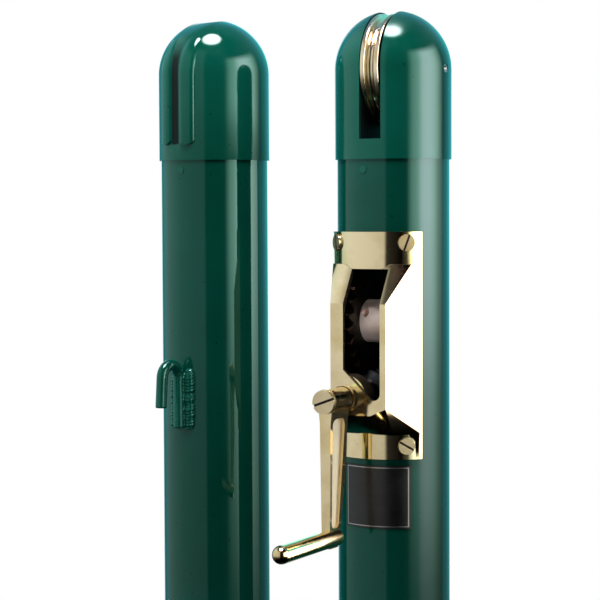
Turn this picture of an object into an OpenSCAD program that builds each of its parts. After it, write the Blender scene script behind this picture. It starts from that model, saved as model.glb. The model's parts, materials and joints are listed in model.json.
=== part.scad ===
// A pair of round net posts for sunk ground sockets, standing side by side.
// The winder post has a slotted cap with a pulley wheel, and a cast housing that holds a worm winder.
// The plain post has a cap with two cable ribs, and a welded cable hook.
// Origin: centre of the winder post's foot. +Z is up, and the winder faces -Y.

/* [Posts] */
// Length of post that stands below the ground
socket_depth = 305; // [200:5:400]
// Height of the net cable above the ground
cable_height = 1070; // [900:10:1200]
// Outside diameter of the tubes
tube_od = 76.2; // [75:0.1:80]
// Wall thickness of the tubes
tube_wall = 3; // [2:0.1:3.5]
// Distance between the axes of the two posts
post_spacing = 143; // [110:1:600]
// Turn of the plain post's front towards the left, in degrees
plain_turn = 6; // [0:0.5:45]
// Diameter of the net cable
cable_d = 5; // [4:0.5:6]

/* [Caps] */
// How much longer the plain post's tube is cut
plain_extra = 1.7; // [0:0.1:4]
// Turn of the winder post's cap towards its right, in degrees
cap_turn = 3; // [0:0.5:5]
// How far a cap stands proud of its tube
cap_proud = 1.4; // [1:0.1:2]
// Length of a cap's straight skirt below its dome
skirt_len = 60.8; // [56:0.1:70]
// Length of the spigot that a cap has inside its tube
spigot_len = 25; // [18:1:40]
// Wall thickness of the spigot
spigot_wall = 4; // [3:0.1:5]
// Height of the slot's lower end above the cap's rim
slot_sill = 13.2; // [8:0.1:18]
// Width of each cable rib on the plain cap
rib_w = 10.5; // [7:0.5:12]
// Width of the cable groove between the ribs
rib_gap = 4.2; // [4:0.1:9]
// Height of the ribs above the cap's surface
rib_rise = 2.6; // [1.5:0.1:3]
// Height of the ribs' lower ends above the rim
rib_foot = 10.6; // [6:0.1:16]
// Depth of the cable's shallow saddle over the plain cap's crown
crown_dip = 1.5; // [0.8:0.1:2]
// Diameter of the rivets that hold the caps
rivet_d = 3; // [2.5:0.5:4]
// Height of the rivets below the cap's rim
rivet_drop = 7; // [5:0.5:12]
// Turn of the winder post's rivets towards the left, in degrees
rivet_turn = 5; // [0:1:20]

/* [Pulley] */
// Width of the pulley wheel
pulley_w = 12.8; // [10:0.2:14]
// Diameter of the pulley wheel
pulley_d = 75.6; // [70:0.2:77]
// How far the pulley axle is set towards the winder's side
pulley_forward = 2.6; // [0:0.1:3]
// Gap between the pulley wheel and each side of the slot
slot_gap = 1.3; // [0.8:0.1:1.6]
// Depth of the wheel's rim below the crown of the dome
crown_gap = 2.2; // [2:0.1:6]
// Depth of the cable groove in the wheel
groove_depth = 4.6; // [4:0.1:6]
// Diameter of the pulley axle
pulley_axle_d = 6; // [5:0.5:8]

/* [Housing] */
// Depth of the housing's top below the cap's rim
housing_drop = 48.1; // [40:0.1:80]
// Distance of the front face from the tube's surface
face_stand = 14.4; // [13:0.1:18]
// Width of the front face
face_w = 40.8; // [38:0.2:44]
// Angle from the middle of the saddle to each of its edges
saddle_angle = 55; // [50:1:58]
// Thickness of the saddle
saddle_t = 2.8; // [2.5:0.1:4]
// Thickness of the housing's walls
housing_wall = 3; // [2.5:0.1:3.5]
// Height of the upper saddle band
top_band = 21.5; // [18:0.5:26]
// Height of the lower saddle band
foot_band = 16.5; // [16:0.5:20]
// Height of the slope between the upper band and the front face
top_slope = 25.5; // [20:0.5:32]
// Height of the slope between the front face and the lower band
foot_slope = 13.4; // [12:0.1:15]
// Depth of the front face's lower edge below the crank axis
face_foot = 10.8; // [10.4:0.1:12]
// Diameter of the housing screws' heads
screw_head_d = 11; // [10:0.1:12.5]
// Diameter of the housing screws' shanks
screw_d = 5; // [4:0.5:6]

/* [Drum and gears] */
// Depth of the drum axis below the housing's top
drum_drop = 60.5; // [59:0.5:62]
// Distance of the drum axis behind the front face
drum_set_back = 42; // [41.5:0.1:43]
// Diameter of the drum's barrel
drum_d = 29.2; // [26:0.2:32]
// Diameter of the drum's flange
drum_flange_d = 44; // [38:1:50]
// Diameter of the drum axle
drum_axle_d = 12; // [10:0.5:13]
// Diameter of the cable's hole in the drum
cable_hole_d = 5.5; // [5:0.5:7]
// Number of teeth on the worm wheel
wheel_teeth = 24; // [22:1:24]
// Module of the worm wheel and the worm
gear_module = 2.92; // [2.85:0.01:2.94]
// Pitch diameter of the worm
worm_pitch_d = 28.3; // [27:0.1:29]
// Play between the worm's thread and the wheel's teeth
backlash = 0.8; // [0.6:0.1:1.2]

/* [Crank] */
// Distance of the crank axis to the left of the post's axis
crank_offset = 10.5; // [10:0.1:11]
// Length of the crank between its axes
crank_len = 90; // [75:1:110]
// Diameter of the worm's front journal
journal_d = 13; // [12:0.1:14]
// Diameter of the crank's front eye
front_eye_d = 16.6; // [15:0.2:18]
// Depth of the crank from the front face to the back face at its eye
crank_depth = 22.5; // [20:0.5:28]
// Width of the arm at its eye
arm_w = 8; // [6.5:0.1:10]
// Width of the arm at its foot
arm_foot_w = 5.5; // [4.5:0.1:7]
// Thickness of the web between the arm's pockets
web_t = 2.6; // [2:0.1:4]
// Diameter of the grip
grip_d = 12; // [10:0.2:15]
// Length of the grip in front of the arm
grip_len = 63; // [50:1:90]

/* [Plate] */
// Height of the plain plate below the housing
plate_h = 42; // [30:1:60]
// Angle that the plate covers round the tube
plate_angle = 72; // [50:1:90]
// Turn of the plate's middle towards the right, in degrees
plate_turn = 8; // [0:1:15]
// Thickness of the plate
plate_t = 0.6; // [0.4:0.1:1.2]
// Gap between the housing's lower edge and the plate
plate_drop = 4.5; // [3:0.5:15]

/* [Hook] */
// Diameter of the hook's round bar
hook_d = 8; // [6:0.5:10]
// Distance between the centres of the hook's two legs
hook_gap = 18; // [15:0.5:22]
// Depth of the hook's crown below the cap's rim
hook_drop = 138.7; // [110:0.1:170]
// Length of the free leg, with the bend
hook_free = 34; // [28:1:45]
// Length of the welded leg, with the bend
hook_weld = 49; // [44:1:60]
// Outward lean of the free leg, in degrees
hook_flare = 4; // [0:1:8]

/* [Hidden] */
$fn = 96;
eps = 0.01;         // overlap that lets a cut pass cleanly through a face
seat_gap = 0.1;     // between fixed pieces that seat on a curved face
pin_gap = 0.03;     // radial, round a pin or screw that doesn't turn
run_gap = 0.05;     // radial, between a shaft and the bore that it runs in
side_gap = 0.2;     // endwise, between turning pieces and what holds them

// Posts and caps
tube_r = tube_od / 2;
bore_r = tube_r - tube_wall;
cap_r = tube_r + cap_proud;
cap_len = cap_r + skirt_len;
spigot_r = bore_r - seat_gap;

// Pulley
pulley_r = pulley_d / 2;
slot_w = pulley_w + 2 * slot_gap;
pulley_bush_wall = 2.5;
pulley_web_w = pulley_w - 5;
top_z = socket_depth + cable_height - cable_d + crown_gap + groove_depth;
pulley_z = top_z - crown_gap - pulley_r;
rim_z = top_z - cap_len;
tube_len = rim_z;
axle_half = sqrt(pow(cap_r, 2) - pow(pulley_forward, 2)) - 0.4;

// Housing
saddle_r = tube_r + saddle_t;
form_r = saddle_r - 0.4;        // the walls' corners sink into the saddle
edge_x = form_r * sin(saddle_angle - 1);
edge_y = -form_r * cos(saddle_angle - 1);
brow_x = 19.7;
brow_y = -(saddle_r - 3.2);     // where the upper slope meets the upper band
heel_y = -(saddle_r - 0.5);     // where the lower slope meets the lower band
face_y = -(tube_r + face_stand);
shoulder_x = face_w / 2 + 0.72 * (edge_x - face_w / 2);
shoulder_y = face_y + 0.72 * (edge_y - face_y);
housing_top = rim_z - housing_drop;
band_top_z = housing_top - top_band;
face_top_z = band_top_z - top_slope;
face_corner = 5;        // rise of the front face's lower corners
face_flat = 8.8;        // half width of its level lower edge

// Gears
pitch_r = gear_module * wheel_teeth / 2;
worm_pitch_r = worm_pitch_d / 2;
addendum = 0.92 * gear_module;
dedendum = 1.12 * gear_module;
thread_pitch = PI * gear_module;
lead = atan(thread_pitch / (2 * PI * worm_pitch_r));
wheel_r = pitch_r + addendum;
worm_r = worm_pitch_r + addendum;
worm_root_r = worm_pitch_r - dedendum;
tooth_half = thread_pitch / 4 - backlash / 4;
flank = tan(20);

drum_z = housing_top - drum_drop;
drum_y = face_y + drum_set_back;
worm_z = drum_z - pitch_r - worm_pitch_r;
worm_x = -crank_offset;
face_foot_z = worm_z - face_foot;
band_foot_z = face_foot_z - foot_slope;
housing_foot = band_foot_z - foot_band;
screw_inset = 7.2;      // upper screws in from the housing's upper edge
foot_screw_inset = 9;   // lower screws in from its lower edge
screw_angle = 38.5;

// Window in the front face
window_left = worm_x - 0.5;
window_right = face_w / 2 - 4.3;
window_top_z = band_top_z - 3;
window_left_foot = worm_z + 19;
window_foot = worm_z - 0.5;
window_round = 4.5;

// Along the drum axle, measured on X
wheel_left = worm_x - 5.5;
wheel_right = worm_x + 2;
drum_right = 16;
washer_t = 1.6;
lug_t = 4.5;
lug_left = wheel_left - washer_t - 2 * side_gap;
lug_right = drum_right + washer_t + 2 * side_gap;
lug_r = drum_axle_d / 2 + 5;
clip_t = 1;
flange_t = 3;
dowel_d = 4;
dowel_pcr = (drum_d / 2 + drum_axle_d / 2) / 2 + 0.2;
cable_hole_angle = 24;
wheel_dish = 4.5;       // depth of the wheel's web below its rim, on the drum's side
wheel_rim_t = 4;
drum_left = wheel_right - wheel_dish;
cable_hole_x = drum_left + cable_hole_d / 2 + 1;

// Along the worm axis, measured on Y
boss_proud = 2;
boss_r = journal_d / 2 + 3;
bush_r = journal_d / 2 + 2;
barrel_r = journal_d / 2 + 9;
barrel_back = face_y + 14.5;
thrust_t = 2;
worm_front = barrel_back + thrust_t + 2 * side_gap;
thread_turns = 3;
thread_half = thread_turns / 2 * thread_pitch;
worm_back = drum_y + thread_half + 1;
rear_journal_d = 10;
rear_lug_t = 10;
rear_lug_y = worm_back + side_gap;
floor_t = 4.5;
floor_z = worm_z - worm_r - 1.2 - floor_t;
square_w = 9;

// Crank, measured on Y from the boss
crank_back = face_y - boss_proud - 1;
crank_front = crank_back - crank_depth;
head_d = front_eye_d - 0.9;
head_t = 3;
grip_z = worm_z - crank_len;
back_lean = 7;          // how far the arm's back face comes forward at its foot
arm_swell = 0.7;        // how far the arm reaches behind its hub
back_eye_r = journal_d / 2 + 1.6;

// ---- Helpers ----

// A round bar along X, from x0 to x1
module bar_x(r, x0, x1) translate([x0, 0, 0]) rotate([0, 90, 0]) cylinder(r = r, h = x1 - x0);

// A round bar along Y, from y0 to y1
module bar_y(r, y0, y1) translate([0, y0, 0]) rotate([-90, 0, 0]) cylinder(r = r, h = y1 - y0);

// A tube along X
module ring_x(r_out, r_in, x0, x1) difference() {
    bar_x(r_out, x0, x1);
    bar_x(r_in, x0 - 1, x1 + 1);
}

// A tube along Y
module ring_y(r_out, r_in, y0, y1) difference() {
    bar_y(r_out, y0, y1);
    bar_y(r_in, y0 - 1, y1 + 1);
}

module at_drum() translate([0, drum_y, drum_z]) children();
module at_worm() translate([worm_x, 0, worm_z]) children();
module at_cap() rotate([0, 0, cap_turn]) children();
module at_pulley() at_cap() translate([0, -pulley_forward, pulley_z]) children();
module at_plain() translate([-post_spacing, 0, 0]) rotate([0, 0, -plain_turn]) children();
module at_plain_top() at_plain() translate([0, 0, plain_extra]) children();

// Places its children with +Z pointing out of the saddle at each of the four screws
module at_screws() {
    for (side = [-1, 1], z = [housing_top - screw_inset, housing_foot + foot_screw_inset])
        translate([0, 0, z]) rotate([0, 0, side * screw_angle]) rotate([90, 0, 0]) children();
}

// ---- Posts ----

// A plain round tube with a pair of rivet holes under its cap
module post_tube(extra = 0) {
    difference() {
        cylinder(r = tube_r, h = tube_len + extra);
        translate([0, 0, -1]) cylinder(r = bore_r, h = tube_len + extra + 2);
        translate([0, 0, extra]) rivet_holes();
    }
}

module winder_post_tube() color("darkgreen") {
    cut_x = crank_offset + worm_r + 1.2;
    cut_top = band_top_z + 0.6;
    cut_foot = floor_z - 1.5;
    corner = 4;
    difference() {
        rotate([0, 0, -rivet_turn]) post_tube();
        // opening in the front wall that the winder goes in through
        rotate([90, 0, 0]) translate([0, 0, bore_r / 2]) linear_extrude(tube_r) polygon([
            [-cut_x, cut_foot + corner],
            [-cut_x + corner, cut_foot],
            [cut_x - corner, cut_foot],
            [cut_x, cut_foot + corner],
            [cut_x, cut_top - corner],
            [cut_x - corner, cut_top],
            [-cut_x + corner, cut_top],
            [-cut_x, cut_top - corner],
        ]);
        at_screws() translate([0, 0, bore_r - 5]) cylinder(r = screw_d / 2 + pin_gap, h = 15);
    }
}

module plain_post_tube() color("darkgreen") at_plain() post_tube(plain_extra);

// The dome and skirt as one turned form, with its spigot
module cap_blank() {
    translate([0, 0, rim_z]) rotate_extrude() {
        square([cap_r, skirt_len]);
        translate([0, skirt_len]) intersection() {
            circle(r = cap_r);
            square(cap_r);
        }
    }
    translate([0, 0, rim_z - spigot_len]) cylinder(r = spigot_r, h = spigot_len + 1);
}

module rivet_holes() {
    translate([0, 0, rim_z - rivet_drop]) bar_y(rivet_d / 2 + pin_gap, -tube_od, tube_od);
}

module winder_post_cap() color("green") at_cap() {
    way_r = spigot_r - spigot_wall;
    difference() {
        cap_blank();
        // slot right through the dome, for the wheel and the cable
        translate([-slot_w / 2, -tube_od, rim_z + slot_sill]) cube([slot_w, 2 * tube_od, cap_len]);
        // way down for the cable, through the skirt and the spigot
        translate([0, 0, rim_z - spigot_len - 1])
            cylinder(r = way_r, h = spigot_len + slot_sill + 1 + eps);
        translate([-slot_w / 2, -bore_r - 0.4, rim_z - spigot_len - 1])
            cube([slot_w, bore_r, spigot_len + slot_sill + 1 + eps]);
        translate([0, -pulley_forward, pulley_z]) bar_x(pulley_axle_d / 2 + pin_gap, -tube_od, tube_od);
        rotate([0, 0, -rivet_turn - cap_turn]) rivet_holes();
    }
}

// Outline of one cable rib: it stands on the cap's circle, and its edges are rounded
module rib_outline() {
    steps = 12;
    inner = rib_gap / 2;
    sunk = 3;
    // height at a share t of the rib's width
    function rise(t) = rib_rise * sqrt(1 - pow(abs(2 * t - 1), 3));
    function crest(t) = sqrt(pow(cap_r + rise(t), 2) - pow(inner + rib_w * t, 2));
    // the steps are closer together near the edges
    function share(i) = (1 - cos(180 * i / steps)) / 2;
    polygon(concat(
        [[inner, crest(0) - sunk]],
        [for (i = [0 : steps]) [inner + rib_w * share(i), crest(share(i)) - (i == 0 || i == steps ? 0.05 : 0)]],
        [[inner + rib_w, crest(1) - sunk]]
    ));
}

// A shallow saddle over the crown, round a line along X, where the cable lies
module crown_saddle() {
    spread = 3.4 * crown_dip;
    saddle_arc_r = cap_r + spread - crown_dip;
    half = rib_gap / 2 + rib_w;
    translate([0, 0, top_z - cap_r - spread]) difference() {
        translate([-half, -cap_r, 0]) cube([2 * half, 2 * cap_r, cap_len]);
        bar_x(saddle_arc_r, -half - 1, half + 1);
    }
}

// A rib runs up the front of the skirt from a round lower end, and dives into the dome below its crown
module cable_rib() {
    rib_foot_z = rim_z + rib_foot;
    dive = 0.8 * rib_rise;
    dome_z = top_z - cap_r - 1.1 * rib_rise;
    end_r = rib_w / 2 + 0.4;
    mid_x = (rib_gap + rib_w) / 2;
    translate([0, -dive, dome_z]) rotate([0, 0, -90]) rotate([90, 0, 0]) mirror([0, 0, 1])
        rotate_extrude(angle = 78) translate([-dive, 0]) rotate(-90) mirror([1, 0]) rib_outline();
    intersection() {
        translate([0, 0, rib_foot_z]) linear_extrude(dome_z - rib_foot_z) mirror([0, 1]) rib_outline();
        union() {
            translate([mid_x, 0, rib_foot_z + end_r]) bar_y(end_r, -2 * cap_r, 0);
            translate([0, -2 * cap_r, rib_foot_z + end_r]) cube([cap_r, 2 * cap_r, cap_len]);
        }
    }
}

module plain_post_cap() color("green") at_plain_top() {
    way_r = spigot_r - spigot_wall;
    difference() {
        union() {
            difference() {
                cap_blank();
                crown_saddle();
            }
            cable_rib();
            mirror([1, 0, 0]) cable_rib();
        }
        translate([0, 0, rim_z - spigot_len - 1])
            cylinder(r = way_r, h = spigot_len + slot_sill);
        rivet_holes();
    }
}

// Two dome-headed rivets through the tube into the spigot
module cap_rivets() {
    head_r = 0.9 * rivet_d;
    for (turn = [0, 180]) rotate([0, 0, turn]) translate([0, 0, rim_z - rivet_drop]) {
        bar_y(rivet_d / 2, -tube_r - 0.5, -spigot_r + spigot_wall);
        intersection() {
            translate([0, -tube_r + head_r * 0.7, 0]) sphere(r = head_r * 1.1);
            translate([-head_r, -tube_r - head_r, -head_r]) cube([2 * head_r, head_r - 0.05, 2 * head_r]);
        }
    }
}

module winder_cap_rivets() color("darkgreen") rotate([0, 0, -rivet_turn]) cap_rivets();
module plain_cap_rivets() color("darkgreen") at_plain_top() cap_rivets();

// One run of weld, laid in the corner between the leg and the tube
module weld_run(length) difference() {
    rotate_extrude($fn = 48) polygon([
        [0, 0],
        [2.8, 0],
        [4.3, 2.2],
        [4.3, length - 2.2],
        [2.8, length],
        [0, length],
    ]);
    translate([0, tube_r + 0.5, -1]) cylinder(r = tube_r + seat_gap / 2, h = length + 2);
}

// Round bar bent to a hook that opens downwards, with weld runs down both sides of its inner leg
module cable_hook() color("green") at_plain_top() {
    leg_r = hook_d / 2;
    bend_r = hook_gap / 2;
    crown_z = rim_z - hook_drop;
    bend_z = crown_z - bend_r - leg_r;
    weld_y = -(tube_r + leg_r + seat_gap);
    // the bend lies in the radial plane
    translate([0, weld_y - bend_r, bend_z]) rotate([90, 0, 90]) {
        rotate_extrude(angle = 180 - hook_flare, $fn = 96)
            translate([bend_r, 0]) circle(r = leg_r, $fn = 48);
        // free leg, square to the end of the bend
        rotate([0, 0, 180 - hook_flare]) translate([bend_r, 0, 0]) rotate([-90, 0, 0])
            cylinder(r = leg_r, h = hook_free - bend_r - leg_r, $fn = 48);
    }
    translate([0, weld_y, crown_z - hook_weld])
        cylinder(r = leg_r, h = hook_weld - bend_r - leg_r, $fn = 48);
    for (side = [-1, 1]) rotate([0, 0, side * 9.5])
        translate([0, -tube_r - 0.5, crown_z - hook_weld - 2]) weld_run(hook_weld - bend_r + 2);
}

// Thin plate bent to the tube, held with glue
module plain_plate() color("black") rotate([0, 0, plate_turn]) difference() {
    half = plate_angle / 2;
    far = 2 * tube_r;
    z0 = housing_foot - plate_drop - plate_h;
    translate([0, 0, z0]) intersection() {
        cylinder(r = tube_r + 0.05 + plate_t, h = plate_h);
        linear_extrude(plate_h) polygon([
            [0, 0],
            [far * sin(half), -far * cos(half)],
            [0, -2 * far],
            [-far * sin(half), -far * cos(half)],
        ]);
    }
    translate([0, 0, z0 - 1]) cylinder(r = tube_r + 0.05, h = plate_h + 2);
}

// ---- Pulley ----

module pulley_wheel() color("gold") at_pulley() {
    lip = 2.7;
    difference() {
        rotate([0, 90, 0]) rotate_extrude($fn = 128) difference() {
            translate([0, -pulley_w / 2]) square([pulley_r, pulley_w]);
            // cable groove with a round bottom
            polygon([
                [pulley_r + 1, pulley_w / 2 - lip + 0.35],
                [pulley_r - groove_depth + cable_d / 2, cable_d / 2 + 0.3],
                [pulley_r - groove_depth + cable_d / 2, -cable_d / 2 - 0.3],
                [pulley_r + 1, -pulley_w / 2 + lip - 0.35],
            ]);
            translate([pulley_r - groove_depth + cable_d / 2, 0]) circle(r = cable_d / 2 + 0.3);
            // dished sides
            for (side = [-1, 1])
                translate([pulley_axle_d / 2 + pulley_bush_wall + 5, side * (pulley_w + pulley_web_w) / 4 - (pulley_w - pulley_web_w) / 4])
                    square([pulley_r - groove_depth - pulley_axle_d / 2 - pulley_bush_wall - 9, (pulley_w - pulley_web_w) / 2]);
        }
        bar_x(pulley_axle_d / 2 + pulley_bush_wall, -pulley_w, pulley_w);
    }
}

module pulley_bush() color("peru") at_pulley()
    ring_x(pulley_axle_d / 2 + pulley_bush_wall - pin_gap, pulley_axle_d / 2 + run_gap,
        -pulley_w / 2 - 0.4, pulley_w / 2 + 0.4);

module pulley_axle() color("silver") at_pulley()
    bar_x(pulley_axle_d / 2, -axle_half, axle_half);

// ---- Winder housing ----

// The hollow form between the saddle and the front face, drawn in by g on every side
module housing_form(g, back_y) {
    half = face_w / 2 - g;
    rise = face_top_z - worm_z - g;
    hull() {
        // the front face, as the base of a pyramid that points inwards
        translate([0, face_y + g, worm_z]) rotate([90, 0, 0]) mirror([0, 0, 1])
            linear_extrude(5, scale = 0) polygon([
                [-half, rise],
                [half, rise],
                [half, face_corner + g - face_foot],
                [face_flat, g - face_foot],
                [-face_flat, g - face_foot],
                [-half, face_corner + g - face_foot],
            ]);
        translate([0, 0, band_top_z - g - 5]) linear_extrude(5) polygon([
            [-edge_x + g, back_y],
            [-edge_x + g, edge_y],
            [-shoulder_x + g, shoulder_y],
            [-brow_x, brow_y + g],
            [brow_x, brow_y + g],
            [shoulder_x - g, shoulder_y],
            [edge_x - g, edge_y],
            [edge_x - g, back_y],
        ]);
        translate([0, 0, band_foot_z + g]) linear_extrude(5) polygon([
            [-edge_x + g, back_y],
            [-edge_x + g, edge_y],
            [-brow_x, heel_y + g],
            [brow_x, heel_y + g],
            [edge_x - g, edge_y],
            [edge_x - g, back_y],
        ]);
    }
}

// The curved saddle that lies on the tube
module saddle() {
    translate([0, 0, housing_foot]) intersection() {
        difference() {
            cylinder(r = saddle_r, h = housing_top - housing_foot);
            translate([0, 0, -1]) cylinder(r = tube_r + seat_gap, h = housing_top - housing_foot + 2);
        }
        linear_extrude(housing_top - housing_foot) polygon([
            [0, 0],
            [2 * edge_x, 2 * edge_y],
            [2 * edge_x, -2 * tube_od],
            [-2 * edge_x, -2 * tube_od],
            [-2 * edge_x, 2 * edge_y],
        ]);
    }
}

// Window outline in the front face, with its slanted corner over the worm's bearing
module window_outline() hull() {
    translate([window_right - window_round, window_foot + window_round]) circle(r = window_round, $fn = 48);
    polygon([
        [window_left, window_left_foot],
        [window_left, window_top_z],
        [window_right, window_top_z],
        [window_right, window_foot + window_round],
    ]);
}

// A lug reaches from the front wall into the tube, and holds one end of the drum axle
module axle_lug(x0) {
    root_y = face_y + 1;
    translate([x0, 0, 0]) rotate([90, 0, 90]) linear_extrude(lug_t) polygon([
        [root_y, drum_z - lug_r - 8],
        [drum_y + 1, drum_z - lug_r + 1],
        [drum_y + 1, drum_z + lug_r - 1],
        [root_y, drum_z + lug_r + 8],
    ]);
    at_drum() bar_x(lug_r, x0, x0 + lug_t);
}

// What the winder's parts may fill: the housing's own form, and the inside of the tube
module housing_room() {
    housing_form(0.4, 5);
    translate([-bore_r * 0.75, -bore_r * 0.6, 0]) cube([bore_r * 1.5, bore_r * 1.4, top_z]);
}

// Floor under the worm, with the rear bearing's lug
module worm_floor() {
    half = barrel_r - 3;
    translate([worm_x - half, face_y + 6, floor_z])
        cube([2 * half, rear_lug_y + rear_lug_t - face_y - 6, floor_t]);
    translate([worm_x, rear_lug_y, 0]) rotate([-90, 0, 0]) linear_extrude(rear_lug_t) polygon([
        [-half, -floor_z],
        [-half, -worm_z],
        [-half + 6, -worm_z - 9],
        [half - 6, -worm_z - 9],
        [half, -worm_z],
        [half, -floor_z],
    ]);
}

module winder_housing() color("khaki") {
    difference() {
        union() {
            difference() {
                union() {
                    housing_form(0, edge_y + 0.5);
                    saddle();
                }
                housing_form(housing_wall, 10);
                cylinder(r = tube_r + seat_gap, h = top_z);
                // window through the front wall and the upper slope
                translate([0, face_y + 19, 0]) rotate([90, 0, 0]) linear_extrude(33) window_outline();
            }
            // front bearing of the worm, as a barrel behind the face and a boss before it
            intersection() {
                at_worm() bar_y(barrel_r, face_y + 2, barrel_back);
                housing_form(0.4, 5);
            }
            at_worm() bar_y(boss_r, face_y - boss_proud, face_y + 2);
            intersection() {
                union() {
                    axle_lug(lug_left - lug_t);
                    axle_lug(lug_right);
                    worm_floor();
                }
                housing_room();
            }
        }
        at_worm() bar_y(bush_r + pin_gap, face_y - boss_proud - 1, barrel_back + 1);
        at_worm() bar_y(rear_journal_d / 2 + 2 + pin_gap, rear_lug_y - 1, rear_lug_y + rear_lug_t + 1);
        at_drum() bar_x(drum_axle_d / 2 + pin_gap, lug_left - lug_t - 1, lug_right + lug_t + 1);
        at_screws() {
            translate([0, 0, tube_r - 2]) cylinder(r = screw_d / 2 + 0.2, h = 10);
            translate([0, 0, tube_r + saddle_t - 0.6]) cylinder(r = screw_head_d / 2 + 0.3, h = 20);
        }
    }
}

// Slotted screws with low round heads
module housing_screws() color("gold") {
    slot_turns = [12, -20, 35, 60];
    seat = tube_r + saddle_t - 0.6;
    for (i = [0 : 3]) {
        side = i % 2 == 0 ? -1 : 1;
        z = i < 2 ? housing_top - screw_inset : housing_foot + foot_screw_inset;
        translate([0, 0, z]) rotate([0, 0, side * screw_angle]) rotate([90, 0, 0]) {
            translate([0, 0, bore_r - 2]) cylinder(r = screw_d / 2, h = seat - bore_r + 2.5);
            difference() {
                translate([0, 0, seat + 0.02]) cylinder(r = screw_head_d / 2, h = 2.2);
                rotate([0, 0, slot_turns[i]]) translate([-0.7, -screw_head_d, seat + 1])
                    cube([1.4, 2 * screw_head_d, 3]);
            }
        }
    }
}

module worm_front_bush() color("peru") at_worm()
    ring_y(bush_r, journal_d / 2 + run_gap, face_y - boss_proud, barrel_back);

module worm_rear_bush() color("peru") at_worm()
    ring_y(rear_journal_d / 2 + 2, rear_journal_d / 2 + run_gap, rear_lug_y, rear_lug_y + rear_lug_t);

module thrust_washer() color("peru") at_worm()
    ring_y(worm_root_r - 0.5, journal_d / 2 + 0.2, barrel_back + side_gap / 4, barrel_back + thrust_t);

// ---- Worm and crank ----

steps_per_turn = 24;

// Corner k of the thread's section at angle a from its start; the thread climbs along +Y
function thread_corner(k, a) =
    let (
        sink = 0.4,
        r = (k == 0 || k == 3) ? worm_root_r - sink : worm_r,
        half_root = tooth_half + (worm_pitch_r - worm_root_r + sink) * flank,
        half_tip = tooth_half - addendum * flank,
        half = (k == 0 || k == 3) ? half_root : half_tip,
        y = thread_pitch * a / 360 + (k < 2 ? -half : half)
    )
    [r * sin(a), y, r * cos(a)];

module thread(turns) {
    n = round(turns * steps_per_turn);
    start = -turns * 180;
    points = [for (i = [0 : n], k = [0 : 3]) thread_corner(k, start + i * 360 / steps_per_turn)];
    sides = [for (i = [0 : n - 1], k = [0 : 3])
        let (a = 4 * i + k, b = 4 * i + (k + 1) % 4)
        [a, b, b + 4, a + 4]];
    polyhedron(points = points, faces = concat([[3, 2, 1, 0]], sides, [[4 * n, 4 * n + 1, 4 * n + 2, 4 * n + 3]]));
}

module worm() color("dimgray") at_worm() {
    difference() {
        union() {
            bar_y(journal_d / 2, crank_back + 0.05, worm_front + 1);
            bar_y(worm_root_r, worm_front, worm_back);
            bar_y(rear_journal_d / 2, worm_back - 1, rear_lug_y + rear_lug_t + 1);
            translate([-square_w / 2, crank_front + 2, -square_w / 2])
                cube([square_w, crank_depth, square_w]);
            translate([0, drum_y, 0]) thread(thread_turns - 0.5);
        }
        bar_y(3 + pin_gap, crank_front, crank_front + 20);
    }
}

// Side outline of the arm on Y and Z
module arm_side() {
    foot_z = grip_z - grip_d / 2;
    polygon([
        [crank_front, worm_z],
        [crank_back + arm_swell, worm_z],
        [crank_back + arm_swell, worm_z - 12],
        [crank_back + arm_swell - 1, worm_z - 42],
        [crank_back - back_lean, grip_z + 10],
        [crank_back - back_lean, grip_z + 1],
        [crank_back - back_lean - 4, foot_z],
        [crank_front + 1, foot_z],
        [crank_front, foot_z + 1],
    ]);
}

// Front outline of the arm on X and Z
module arm_front() {
    polygon([
        [-arm_w / 2 - 1.5, worm_z],
        [arm_w / 2 + 1.5, worm_z],
        [arm_w / 2, worm_z - 14],
        [arm_foot_w / 2, grip_z - grip_d],
        [-arm_foot_w / 2, grip_z - grip_d],
        [-arm_w / 2, worm_z - 14],
    ]);
}

module arm_pocket() {
    r = 5;
    foot_r = 3;
    front = crank_front + 3;
    back = crank_back - 3.2;
    top = worm_z - journal_d / 2 - 5 - r;
    foot = grip_z + grip_d / 2 + 4;
    hull() {
        translate([front + r, top]) circle(r = r, $fn = 32);
        translate([back - r, top]) circle(r = r, $fn = 32);
        translate([front + foot_r, foot]) circle(r = foot_r, $fn = 32);
        translate([back - back_lean - foot_r, foot]) circle(r = foot_r, $fn = 32);
    }
}

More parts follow.
